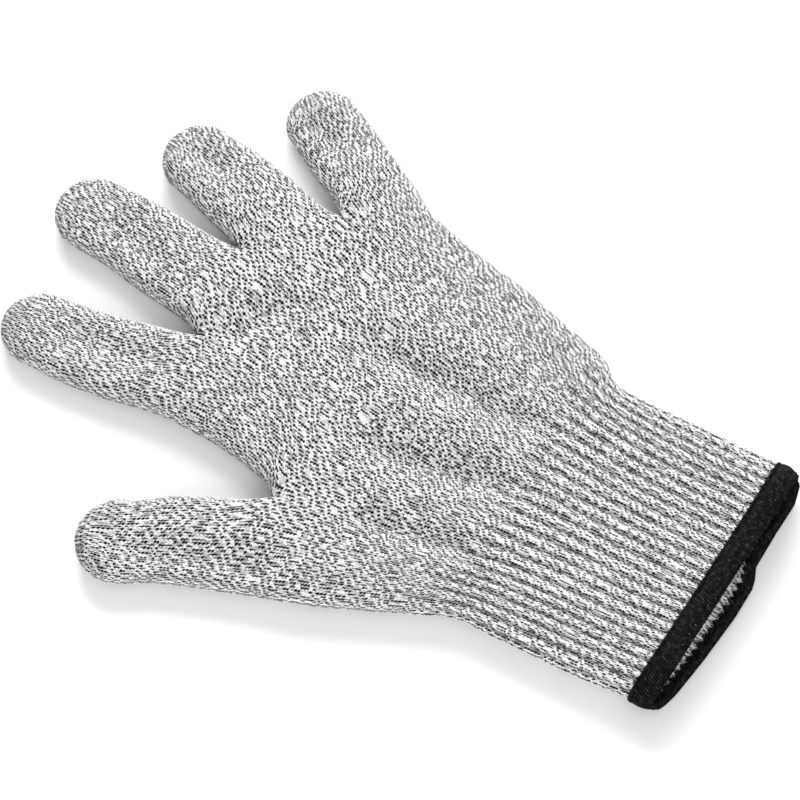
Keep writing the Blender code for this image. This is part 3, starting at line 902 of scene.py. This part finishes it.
def make_hem(fabric):
    mouth = Mouth(fabric)
    black = black_thread("overlock_black")
    band = hem_band(mouth, black)
    needle = braid("hem_needle_thread", mouth, *NEEDLE_BRAID, black)
    edge = braid("hem_edge_thread", mouth, *EDGE_BRAID, black)
    inner = lining(mouth, melange("melange_inside", PURL_DARKNESS))
    for pieces, nodes, slot in (
        ([band], ["hem_binding"], "overlock_thread"),
        (needle, ["hem_needle_thread"], "overlock_thread"),
        (edge, ["hem_edge_thread"], "overlock_thread"),
        ([inner], ["ribbed_cuff"], "ribbed_knit"),
    ):
        for piece in pieces:
            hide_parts(*nodes)
            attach(piece, "cuff")
    elastic = elastic_yarn("covered_elastic")
    for index, node in enumerate(sorted(ELASTICS)):
        path = mouth.ring(HEM_WIDTH + index * ELASTIC_PITCH, ELASTIC_OFFSET)[::4]
        piece = thread_tube(f"{node}_yarn", path, ELASTIC_RADIUS, elastic, sides=6)
        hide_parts(node)
        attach(piece, "cuff")


# ---------------------------------------------------------------- floor, lights and camera
def make_stage():
    floor_mesh = bpy.data.meshes.new("floor")
    reach = 6.0
    corners = [(-reach, -reach, 0), (reach, -reach, 0), (reach, reach, 0), (-reach, reach, 0)]
    floor_mesh.from_pydata(corners, [], [(0, 1, 2, 3)])
    floor = bpy.data.objects.new("floor", floor_mesh)
    bpy.context.scene.collection.objects.link(floor)
    n = Nodes("pale_floor")
    n.shader.inputs["Base Color"].default_value = (0.9, 0.9, 0.9, 1)
    n.shader.inputs["Roughness"].default_value = 0.9
    n.shader.inputs["Specular IOR Level"].default_value = 0.0
    floor_mesh.materials.append(n.material)


# the photo's view, in metres and in the frame's axes
VIEW_TURN = math.radians(28.27)       # the way it looks along the floor, turned from +X towards +Y
ELEVATION = math.radians(64)
DISTANCE = 0.95
TARGET = Vector((0.00223, -0.00304, 0.005))


def aim(thing, place, target):
    thing.location = place
    thing.rotation_euler = (Vector(target) - Vector(place)).to_track_quat("-Z", "Y").to_euler()


def make_camera():
    data = bpy.data.cameras.new("camera")
    data.lens = 140
    data.sensor_width = 36
    camera = bpy.data.objects.new("camera", data)
    bpy.context.scene.collection.objects.link(camera)
    away = Vector((math.cos(VIEW_TURN), math.sin(VIEW_TURN), 0))
    above = Vector((0, 0, DISTANCE * math.sin(ELEVATION)))
    aim(camera, TARGET - away * DISTANCE * math.cos(ELEVATION) + above, TARGET)
    bpy.context.scene.camera = camera


def light(name, place, size, power):
    data = bpy.data.lights.new(name, "AREA")
    data.shape = "SQUARE"
    data.size = size
    data.energy = power
    lamp = bpy.data.objects.new(name, data)
    bpy.context.scene.collection.objects.link(lamp)
    aim(lamp, place, (0, 0, 0))


def make_lights():
    light("key", place=(1.3, 0.75, 0.85), size=1.2, power=43)
    light("fill", place=(-1.0, -0.9, 0.7), size=1.4, power=19)
    world = bpy.data.worlds.new("studio")
    world.use_nodes = True
    background = world.node_tree.nodes["Background"]
    background.inputs["Color"].default_value = (1, 1, 1, 1)
    background.inputs["Strength"].default_value = 0.6
    bpy.context.scene.world = world


bpy.context.scene.view_settings.view_transform = "Standard"
make_camera()
make_stage()
make_lights()
make_hem(make_glove())
